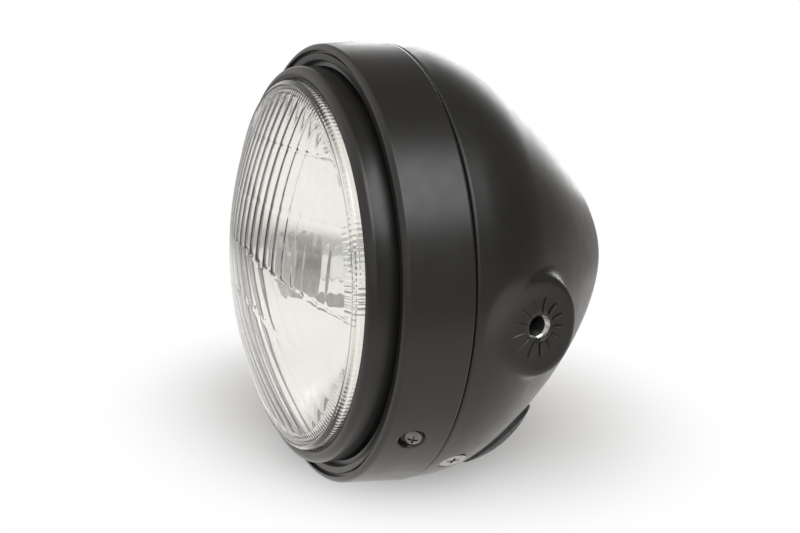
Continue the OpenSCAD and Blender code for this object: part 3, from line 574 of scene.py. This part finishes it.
def dense_angles(zones, coarse):
    """Angles round the lamp in degrees: each zone (from, to, step) at its own step, the rest coarse."""
    zones = sorted(zones)
    angles = []
    for k, (low, high, step) in enumerate(zones):
        count = int(np.ceil((high - low) / step))
        angles.append(np.linspace(low, high, count + 1))
        after = zones[(k + 1) % len(zones)][0] + (360 if k + 1 == len(zones) else 0)
        rest = max(int(np.ceil((after - high) / coarse)), 1)
        angles.append(np.linspace(high, after, rest + 1)[1:-1])
    return np.concatenate(angles)


def side_face(z, up):
    """Distance from the middle plane of the shell's side, with the pad, its boss and its recess.

    Beside the flank's own x = sqrt(r(z)^2 - up^2) stand a flat oval pad with a rounded edge that falls
    off steeply (larger wins), and a hollow that rises gently in front of the pad (smaller wins).
    """
    flank = np.sqrt(np.clip(shell_radius(z) ** 2 - up ** 2, 0, None))
    back, rise = -(z + MOUNT_BACK), up + MOUNT_DROP
    out = np.hypot(back, rise)
    oval = np.hypot(back, rise / PAD_TALLER)
    turn = radians(PAD_DRAFT)
    into = np.clip(oval - PAD_FLAT_R, 0, PAD_ROUND * np.sin(turn))
    fall = PAD_ROUND - np.sqrt(PAD_ROUND ** 2 - into ** 2)
    fall = fall + np.tan(turn) * np.clip(oval - PAD_FLAT_R - PAD_ROUND * np.sin(turn), 0, None)
    hollow = PAD_X + np.clip(out - HOLLOW_R, 0, None) ** 2 / HOLLOW_RISE
    face = smooth_min(smooth_max(flank, PAD_X - fall, PAD_FILLET), hollow, HOLLOW_FILLET)
    return flank + (face - flank) * (1 - smooth_step((out - PAD_END_R) / PAD_END_W))


def ring_map(i, j, cells, hole_r, reach):
    """Where a grid point at index (i, j) from a hole's middle goes: two distances, a weight and its ring.

    Square rings of the grid become circles: equal steps along a ring's sides are equal angles, and the
    radius grows evenly from the hole's edge to the block's reach. The weight is 1 at the block's edge.
    """
    hole, block = cells
    ring = np.maximum(np.abs(i), np.abs(j))
    safe = np.maximum(ring, 1)
    on_i = np.abs(i) >= np.abs(j)
    along = np.where(on_i, np.sign(i) * j, -np.sign(j) * i) / safe
    base = np.where(on_i, np.where(i >= 0, 0, np.pi), np.where(j >= 0, np.pi / 2, -np.pi / 2))
    angle = base + along * np.pi / 4
    t = (ring - hole) / (block - hole)
    radius = hole_r + (reach - hole_r) * t
    return radius * np.cos(angle), radius * np.sin(angle), smooth_step(t), ring


def make_shell():
    """The pressed shell: its meridian turned round the axis, with the pads, and the holes as round rings.

    The grid has rows along the meridian and columns round the axis. Round each hole a square block of
    cells is turned into rings, and the cells inside the first ring are left out. The skin is then given
    its thickness inwards.
    """
    length, radius, height = MERIDIAN
    first = SEAM_GAP + EDGE_ROUND + FIRST_ROW_GAP
    rows = np.concatenate([
        np.arange(first, LAST_EVEN_ROW, ROW_STEP), np.linspace(LAST_EVEN_ROW, length[-1], END_ROWS)])
    columns = radians(dense_angles(SHELL_ZONES, COARSE_DEG))
    s = np.repeat(rows[:, None], len(columns), axis=1)
    a = np.repeat(columns[None, :], len(rows), axis=0)
    keep = np.ones((len(rows) - 1, len(columns)), bool)

    def block_of(s_mid, a_mid, block):
        """Rows and columns of the square of grid points round a place, and their steps from its middle."""
        row = int(np.argmin(np.abs(rows - s_mid)))
        turn = np.angle(np.exp(1j * (columns - a_mid)))
        column = int(np.argmin(np.abs(turn)))
        i, j = np.meshgrid(np.arange(-block, block + 1), np.arange(-block, block + 1), indexing="ij")
        return row + i, (column + j) % len(columns), i, j

    def leave_out(row, column, i, j, hole):
        """Leaves the cells within a hole unfilled."""
        inside = (i >= -hole) & (i < hole) & (j >= -hole) & (j < hole)
        keep[row[inside], column[inside]] = False

    # Holes on the round flank: the two lug screws and the grommet
    for angle, z, hole_r, cells, reach in [
        (-LUG_SCREW_DEG, -LUG_SCREW_BACK, LUG_HOLE_R, LUG_CELLS, LUG_REACH),
        (180 + LUG_SCREW_DEG, -LUG_SCREW_BACK, LUG_HOLE_R, LUG_CELLS, LUG_REACH),
        (-GROMMET_DEG, flank_point(GROMMET_SLOPE)[1], GROMMET_HOLE_R, GROMMET_CELLS, GROMMET_REACH),
    ]:
        s_mid = np.interp(-z, -height, length)
        r_mid = np.interp(s_mid, length, radius)
        a_mid = radians(angle)
        row, column, i, j = block_of(s_mid, a_mid, cells[1])
        p, q, weight, _ = ring_map(i, j, cells, hole_r, reach)
        p0 = s[row, column] - s_mid
        q0 = np.angle(np.exp(1j * (a[row, column] - a_mid))) * r_mid
        s[row, column] = s_mid + p * (1 - weight) + p0 * weight
        a[row, column] = a_mid + (q * (1 - weight) + q0 * weight) / r_mid
        leave_out(row, column, i, j, cells[0])

    r = np.interp(s, length, radius)
    z = np.interp(s, length, height)
    x, up = r * np.cos(a), r * np.sin(a)

    # The two pads, worked out on the plane of the pad
    s_mid = np.interp(MOUNT_BACK, -height, length)
    a_mid = np.arcsin(-MOUNT_DROP / np.interp(s_mid, length, radius))
    for side in (1, -1):
        row, column, i, j = block_of(s_mid, a_mid if side > 0 else np.pi - a_mid, PAD_CELLS[1])
        p, q, weight, ring = ring_map(i, j, PAD_CELLS, PAD_HOLE_R, PAD_REACH)
        p0 = -(z[row, column] + MOUNT_BACK)
        q0 = (up[row, column] + MOUNT_DROP) * side
        back = p * (1 - weight) + p0 * weight
        rise = (q * (1 - weight) + q0 * weight) * side
        z[row, column] = -(MOUNT_BACK + back)
        up[row, column] = rise - MOUNT_DROP
        x[row, column] = side * side_face(z[row, column], up[row, column])
        rim = ring == PAD_CELLS[0]
        x[row[rim], column[rim]] -= side * PAD_HOLE_DIP
        leave_out(row, column, i, j, PAD_CELLS[0])

    # The front: spigot, seam face and rounded edge, as rows ahead of the first one
    front = np.concatenate([
        [(SPIGOT_R, SPIGOT_H), (SPIGOT_R, 1.0), (SPIGOT_R, -SEAM_GAP + 0.3), (SPIGOT_R + 0.3, -SEAM_GAP)],
        arc((SHELL_R - EDGE_ROUND, -SEAM_GAP - EDGE_ROUND), EDGE_ROUND, 90, 0, 8),
    ])
    front_r, front_z = front[:, :1], front[:, 1:] + 0 * columns
    ahead = to_frame(front_r * np.cos(columns), front_r * np.sin(columns), front_z)
    points = np.concatenate([ahead, to_frame(x, up, z)])
    keep = np.concatenate([np.ones((len(front), len(columns)), bool), keep])
    faces = grid_faces(len(points), len(columns), False, True, keep)
    shell = mesh_piece("shell_skin", points, faces, shell_paint, 40)
    solidify = shell.modifiers.new("wall", "SOLIDIFY")
    solidify.thickness = SHELL_WALL * MM
    solidify.offset = -1
    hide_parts("rear_shell")


def make_ridges():
    """Fine ridges on each pad: sharp across, fading out at both ends, longer and higher on one side.

    Ridge k stands at the angle t = 2 pi k / n round the hole, from the start radius outwards by its length.
    Length and rise each grow by their gain times (1 - cos t) / 2, so they are greatest in front of the hole.
    """
    across = np.linspace(-1, 1, 9)
    along = np.linspace(0, 1, 15)
    u, v = np.meshgrid(along, across, indexing="ij")
    width = RIDGE_HALF_W * np.sqrt(np.clip(np.sin(np.pi * (0.04 + 0.92 * u)), 0, 1))
    rise_along = (1 - np.abs(v)) * np.sqrt(np.clip(np.sin(np.pi * (0.02 + 0.96 * u)), 0, 1))
    for side, name in ((1, "pad_ridges_right"), (-1, "pad_ridges_left")):
        points, faces = [], []
        for k in range(RIDGES):
            turn = 2 * np.pi * k / RIDGES
            ahead = (1 - np.cos(turn)) / 2
            lift = (RIDGE_RISE + RIDGE_RISE_GAIN * ahead) * rise_along
            radius = RIDGE_START_R + (RIDGE_L + RIDGE_L_GAIN * ahead) * u
            back = radius * np.cos(turn) - v * width * np.sin(turn)
            rise = radius * np.sin(turn) + v * width * np.cos(turn)
            top = to_frame(side * (PAD_X + lift), rise - MOUNT_DROP, -(MOUNT_BACK + back))
            foot = to_frame(side * (PAD_X - RIDGE_FOOT + 0 * lift), rise - MOUNT_DROP, -(MOUNT_BACK + back))
            ring = np.concatenate([top, foot[:, ::-1]], axis=1)
            start = k * ring.shape[0] * ring.shape[1]
            body = grid_faces(ring.shape[0], ring.shape[1], False, True) + start
            n = ring.shape[1]
            m = np.arange(n // 2 - 1)
            end = np.stack([m, m + 1, n - 2 - m, n - 1 - m], axis=-1) + start
            points.append(ring.reshape(-1, 3))
            faces += [body, end, end + (ring.shape[0] - 1) * n]
        mesh_piece(name, np.concatenate(points), np.concatenate(faces), shell_paint, 60)


def make_bush(side, name, node):
    """Threaded bush: a flanged section turned about the mounting axis, its bore wound with a thread.

    The bore's radius is core + depth * ramp(x / pitch - angle / turn), a sharp-edged helix.
    """
    face = PAD_X - SHELL_WALL - FIT_GAP
    depth = np.linspace(THREAD_ENDS[0], BUSH_L - THREAD_ENDS[1], THREAD_ROWS)
    outside = [
        (THREAD_CORE_R + 1.1, 0.0), (BUSH_FLANGE_R, 0.0), (BUSH_FLANGE_R, BUSH_FLANGE_T),
        (BUSH_NECK_R, BUSH_FLANGE_T), (BUSH_NECK_R, BUSH_L), (THREAD_CORE_R + 0.5, BUSH_L)]
    bore = np.stack([np.full(THREAD_ROWS, THREAD_CORE_R), depth[::-1]], axis=-1)
    section = np.concatenate([outside, bore])
    columns = 96
    a = np.linspace(0, 2 * np.pi, columns, endpoint=False)
    r = section[:, :1] + 0 * a
    x = section[:, 1:] + 0 * a
    wave = np.abs(2 * np.mod(x / THREAD_PITCH - a / (2 * np.pi), 1) - 1)
    r[len(outside):] += THREAD_DEPTH * wave[len(outside):]
    points = to_frame(side * (face - x), r * np.sin(a) - MOUNT_DROP, r * np.cos(a) - MOUNT_BACK)
    faces = grid_faces(len(section), columns, True, True)
    bush = mesh_piece(name, points, faces, bright_zinc, 30)
    # Faces of the bore from a little below the flange take the near-black steel: painted shade deep in the
    # bore
    bush.data.materials.append(thread_painted_shade)
    centres = np.empty(3 * len(bush.data.polygons))
    bush.data.polygons.foreach_get("center", centres)
    cx, cy, cz = centres.reshape(-1, 3).T / MM
    from_axis = np.hypot(cy - SEAM_Y / MM - MOUNT_BACK, cz + MOUNT_DROP)
    in_bore = (from_axis < THREAD_CORE_R + THREAD_DEPTH + 0.1) & (np.abs(cx) < face - SHADE_BELOW)
    bush.data.polygons.foreach_set("material_index", in_bore.astype(np.int32))
    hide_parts(node)


# Band

def rim_outside(z):
    """Radius of the band's slightly tapered outside."""
    return RIM_R + (RIM_FRONT_R - RIM_R) * z / (RIM_DEPTH - RIM_LIP_R)


def make_band():
    """Trim band: its closed section turned round the axis, with a pocket pressed in at each band screw.

    In a pocket the outer wall is no further out than the floor, a plane square to the screw's leaning
    axis, and rises from it by a steep wall; the inner wall stays a sheet's thickness below.
    """
    lip_z = RIM_DEPTH - RIM_LIP_R
    crest_r = RIM_FRONT_R - RIM_LIP_R
    out_r = crest_r - 0.2
    in_r = out_r - GROOVE_W
    low = FLANGE_Z - GROOVE_DEPTH
    under = low - RIM_WALL
    edge = arc((rim_outside(0) - BAND_EDGE_R, BAND_EDGE_R), BAND_EDGE_R, -90, -10, 4)
    outer_z = np.concatenate([
        [BAND_EDGE_R], np.linspace(1.2, POCKET_ROWS_FROM - 0.5, 6),
        np.arange(POCKET_ROWS_FROM, POCKET_ROWS_TO + 0.01, POCKET_ROW),
        np.linspace(POCKET_ROWS_TO + 0.6, lip_z, 6)])
    outer = np.stack([rim_outside(outer_z), outer_z], axis=-1)
    inner_z = np.concatenate([
        np.linspace(under, POCKET_ROWS_TO + 0.4, 4),
        np.arange(POCKET_ROWS_TO, POCKET_ROWS_FROM - 0.6, -INNER_ROW), [5, 3, 1, 0.3]])
    inner = np.stack([rim_outside(inner_z) - RIM_WALL, inner_z], axis=-1)
    opening = RIM_OPENING_R
    section = np.concatenate([
        edge, outer[1:],
        arc((crest_r, lip_z), RIM_LIP_R, 6, 90, 12),
        [(crest_r - 0.1, RIM_DEPTH - 0.02), (out_r, RIM_DEPTH - 0.12), (out_r, low), (in_r, low),
         (in_r, FLANGE_Z - 0.25), (in_r - 0.25, FLANGE_Z)],
        arc((opening + 0.6, FLANGE_Z - 0.6), 0.6, 90, 180, 6),
        [(opening, under + 0.1), (opening + RIM_WALL, under + 0.1), (opening + RIM_WALL, low),
         (in_r - RIM_WALL, low), (in_r - RIM_WALL, under)],
        inner,
    ])
    columns = radians(dense_angles(BAND_ZONES, BAND_COARSE_DEG))
    r = section[:, :1] + 0 * columns
    z = section[:, 1:] + 0 * columns
    # The edge's last point is the outer wall's first
    row = np.arange(len(section))[:, None]
    is_outer = (row >= len(edge) - 1) & (row < len(edge) - 1 + len(outer))
    is_inner = row >= len(section) - len(inner)
    seat = rim_outside(BAND_SCREW_Z) - POCKET_DEPTH
    lean, up = radians((POCKET_LEAN, POCKET_TURN))
    axis = (np.cos(lean) * np.cos(up), np.cos(lean) * np.sin(up), np.sin(lean))
    for mid, side in ((-BAND_SCREW_DEG, 1), (180 + BAND_SCREW_DEG, -1)):
        # Place beside the screw: out along the radius, round towards the top, and forwards
        turn = np.angle(np.exp(1j * (columns - radians(mid)))) * side
        e1 = r * np.cos(turn) - seat
        e2 = r * np.sin(turn)
        e3 = z - BAND_SCREW_Z
        height = e1 * axis[0] + e2 * axis[1] + e3 * axis[2]
        far = np.sqrt(np.clip(e1 ** 2 + e2 ** 2 + e3 ** 2 - height ** 2, 0, None))
        near = np.abs(turn) < radians(POCKET_SPAN_DEG)
        floor_r = (seat * axis[0] - e3 * axis[2]) / (np.cos(turn) * axis[0] + np.sin(turn) * axis[1])
        wall = POCKET_WALL_SLOPE * np.clip(far - POCKET_R + 0.1, 0, None)
        pressed = smooth_min(r, floor_r + wall, POCKET_FILLET)
        wall_in = POCKET_WALL_SLOPE * np.clip(far - POCKET_R - RIM_WALL, 0, None)
        pressed_in = smooth_min(r, floor_r - RIM_WALL + wall_in, POCKET_FILLET)
        r = np.where(is_outer & near, pressed, np.where(is_inner & near, pressed_in, r))
    points = to_frame(r * np.cos(columns), r * np.sin(columns), z)
    faces = grid_faces(len(section), len(columns), True, True)
    band = mesh_piece("band_skin", points, faces, band_paint, 38)
    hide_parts("trim_band")


# Light unit

def make_ring():
    """Retaining ring: face, rounded shoulder and side wall down to a flange inside the band."""
    top = LENS_EDGE_Z + RING_RISE
    c = (RING_R - RING_ROUND, top - RING_ROUND)
    hole_r = LENS_R + LENS_GAP
    flange, under = RING_FLANGE_Z, RING_FLANGE_Z - RING_WALL
    section = np.concatenate([
        [(hole_r, LENS_EDGE_Z - 0.9), (hole_r, LENS_EDGE_Z - 0.3), (hole_r + 0.25, LENS_EDGE_Z + 0.05)],
        arc(c, RING_ROUND, 94, 0, 20),
        [(RING_R, flange + 1), (RING_R + 0.3, flange + 0.3), (RING_R + 1, flange), (RING_FLANGE_R, flange),
         (RING_FLANGE_R, under), (RING_R - RING_WALL, under)],
        arc(c, RING_ROUND - RING_WALL, 0, 90, 10),
    ])
    ring = lathe("ring_skin", section, ring_paint)
    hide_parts("retaining_ring")


def dome(r):
    """Height of the lens's outer face, h * (1 - (r / R) ^ power) above its edge."""
    return LENS_EDGE_Z + BEAD_H + DOME_H * (1 - (r / (LENS_R - BEAD_W)) ** DOME_POWER)


# The ball of the lens's inner face: how far it rises over the wall's foot, its radius and its centre
BALL_H = DOME_H + 0.2
BALL_R = ((LENS_R - BEAD_W - GLASS_T) ** 2 + BALL_H ** 2) / (2 * BALL_H)
BALL_Z = LENS_EDGE_Z + BEAD_H + DOME_H - GLASS_T - BALL_R


def groove(x, depth, step=FLUTE_STEP):
    """How deep a groove's round bottom stands in the glass at x, for grooves at even angles of the ball.

    A rod of radius q cuts sqrt(q^2 - w^2) - (q - depth) deep at w from its middle, over the groove's chord.
    """
    pitch = BALL_R * np.sin(radians(step))
    chord = pitch - FLUTE_LAND
    rod = (chord ** 2 / 4 + depth ** 2) / (2 * depth)
    turns = np.arcsin(np.clip(x / BALL_R, -1, 1)) / radians(step)
    w = (turns - np.round(turns)) * pitch
    return np.clip(np.sqrt(np.clip(rod ** 2 - w ** 2, 0, None)) - (rod - depth), 0, None)


def glass_grooves(x, up):
    """Depth of the pattern inside the lens: upright grooves in three steps, shallow slanting ones below.

    The grooves end at a line that falls towards the right, and a second line parts the slanting ones.
    Along each line stands a low round bead, 1 - (distance / half its width)^2 high.
    """
    over_cut = up - CUT_UP + CUT_SLOPE * np.clip(x, 0, None)
    over_low = up - LOW_UP + LOW_SLOPE * np.clip(x, 0, None)
    slant = radians(SLANT_TURN)
    upright = groove(x, FLUTE_DEPTH) + STEP_HEIGHT * ((up < MIDDLE_STEP) | (up > UPPER_STEP))
    slanting = groove(x * np.cos(slant) + up * np.sin(slant), SLANT_DEPTH, SLANT_STEP)
    depth = np.where(over_cut > 0, upright, slanting + STEP_HEIGHT * (over_low < 0))
    # The lines, each with its bead's share of the full height
    for line, size in ((over_cut, 1), (over_low, 0.6), (up - MIDDLE_STEP, 0.6), (up - UPPER_STEP, 2)):
        depth = depth - size * BEAD_HEIGHT * np.clip(1 - (line / BEAD_HALF) ** 2, 0, None)
    edge = 1 - smooth_step(np.hypot(x, up) - FIELD_R + 1.0)
    return depth * edge


def make_lens():
    """Fluted lens: the outer face and rim are turned, the inner face is a grid with the flutes.

    The inner face is a ball, z = c + sqrt(q^2 - up^2) with q = sqrt(B^2 - x^2) + groove depth. Its grid's
    columns run upright at even angles of the ball, so that the grooves' edges lie on columns, with
    up = v * sqrt(R^2 - x^2). The rim joins both by rings round the same angles.
    """
    crown_r = LENS_R - BEAD_W
    inner_r = crown_r - GLASS_T
    half = int(np.degrees(np.arcsin(inner_r / BALL_R)) / FLUTE_STEP * GRID_PER_FLUTE)
    x = BALL_R * np.sin(radians(np.arange(-half, half + 1) * FLUTE_STEP / GRID_PER_FLUTE))
    x = np.concatenate([[-inner_r], x, [inner_r]])
    v = np.sin(np.linspace(-np.pi / 2, np.pi / 2, LENS_ROWS + 1))
    vv, xx = np.meshgrid(v, x, indexing="ij")
    up = vv * np.sqrt(np.clip(inner_r ** 2 - xx ** 2, 0, None))
    reach = np.sqrt(BALL_R ** 2 - xx ** 2) + glass_grooves(xx, up)
    inner = to_frame(xx, up, BALL_Z + np.sqrt(reach ** 2 - up ** 2)).reshape(-1, 3)
    inner_faces = grid_faces(LENS_ROWS + 1, len(x), False, False)
    # Rim points of the grid, in turn round the disc
    top = np.arange(len(x)) + LENS_ROWS * len(x)
    bottom = np.arange(len(x))
    loop = np.concatenate([top[::-1][:-1], bottom[:-1]])
    angle = np.arctan2(inner[loop, 2], inner[loop, 0])
    flange_r = LENS_R + LENS_FLANGE_W
    flange_top = LENS_BACK_Z + GLASS_T
    wall = [
        (inner_r + 0.3, dome(crown_r) - GLASS_T - 1.2), (inner_r + 0.4, LENS_BACK_Z), (flange_r, LENS_BACK_Z),
        (flange_r, flange_top), (LENS_R, flange_top), (LENS_R, LENS_EDGE_Z)]
    rolls = [
        arc((LENS_R - back, LENS_EDGE_Z + rise), roll_r, start, end, 6)
        for back, rise, roll_r, start, end in EDGE_ROLLS]
    cap_r = (crown_r - 0.4) * np.sqrt(np.linspace(1, 0, CAP_RINGS))
    cap = np.stack([cap_r, dome(cap_r)], axis=-1)
    section = np.concatenate([wall, *rolls, cap])
    r, z = section[:, :1], section[:, 1:] + 0 * angle
    turned = to_frame(r * np.cos(angle), r * np.sin(angle), z).reshape(-1, 3)
    turned_faces = grid_faces(len(section), len(angle), False, True) + len(inner)
    here = np.arange(len(loop))
    ahead = np.roll(here, -1)
    seam = np.stack([loop, loop[ahead], len(inner) + ahead, len(inner) + here], axis=-1)
    points = np.concatenate([inner, turned])
    faces = np.concatenate([inner_faces, turned_faces, seam])
    lens = mesh_piece("fluted_lens", points, faces, lens_glass, 50)
    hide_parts("lens")


def make_reflector():
    """Reflector: a parabola r^2 = 4 f z with its neck and rim, turned round the axis."""
    t = REFLECTOR_WALL
    seat = LENS_BACK_Z - GASKET_ROOM
    bowl = seat - t - MOUTH_R ** 2 / (4 * FOCAL_L)
    bulb = bowl - BULB_SEAT_DROP
    flange = RING_FLANGE_Z - RING_WALL - FIT_GAP
    skirt = RING_R - RING_WALL - SKIRT_GAP
    r = np.linspace(NECK_R, MOUTH_R, 70)
    z = bowl + r ** 2 / (4 * FOCAL_L)
    section = np.concatenate([
        np.stack([r, z], axis=-1),
        [(MOUTH_R, seat), (skirt, seat), (skirt, flange), (REFLECTOR_FLANGE_R, flange),
         (REFLECTOR_FLANGE_R, flange - t), (skirt - t, flange - t), (skirt - t, seat - t),
         (MOUTH_R + t, seat - t)],
        np.stack([r + t, z - 1.1 * t], axis=-1)[::-1],
        [(NECK_R + t, bulb + t), (BULB_SEAT_R, bulb + t),
         (BULB_SEAT_R, bulb + FIT_GAP), (NECK_R, bulb + FIT_GAP)],
    ])
    reflector = lathe("reflector_bowl", section, mirror, 240)
    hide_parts("reflector")


def dress(node, material):
    """Gives a CAD node its finish."""
    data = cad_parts[node].data
    data.materials.clear()
    data.materials.append(material)


def dress_solids():
    """The finish of every CAD node that the scene shows as it is."""
    for node in ("top_catch", "lug_left", "lug_right", "unit_clips", "shield_rivet"):
        dress(node, inner_steel)
    for node in ("lug_screws", "unit_screws"):
        dress(node, screw_plate)
    # Band screws get the darker plate, as painted shade of their pockets and cross recesses
    dress("band_screws", screw_painted_shade)
    for node in ("lug_nuts", "bulb_clip", "bulb_base", "bulb_filaments"):
        dress(node, bright_zinc)
    for node in ("cable_grommet", "lens_gasket", "rubber_boot"):
        dress(node, rubber)
    dress("bulb_terminals", brass)
    dress("bulb_shield", shield_grey)
    dress("bulb_glass", bulb_clear)


def main():
    bpy.context.scene.view_settings.view_transform = "Standard"
    make_camera()
    make_studio()
    make_shell()
    make_ridges()
    make_bush(1, "thread_bush_right", "bush_right")
    make_bush(-1, "thread_bush_left", "bush_left")
    make_band()
    make_ring()
    make_lens()
    make_reflector()
    dress_solids()


main()
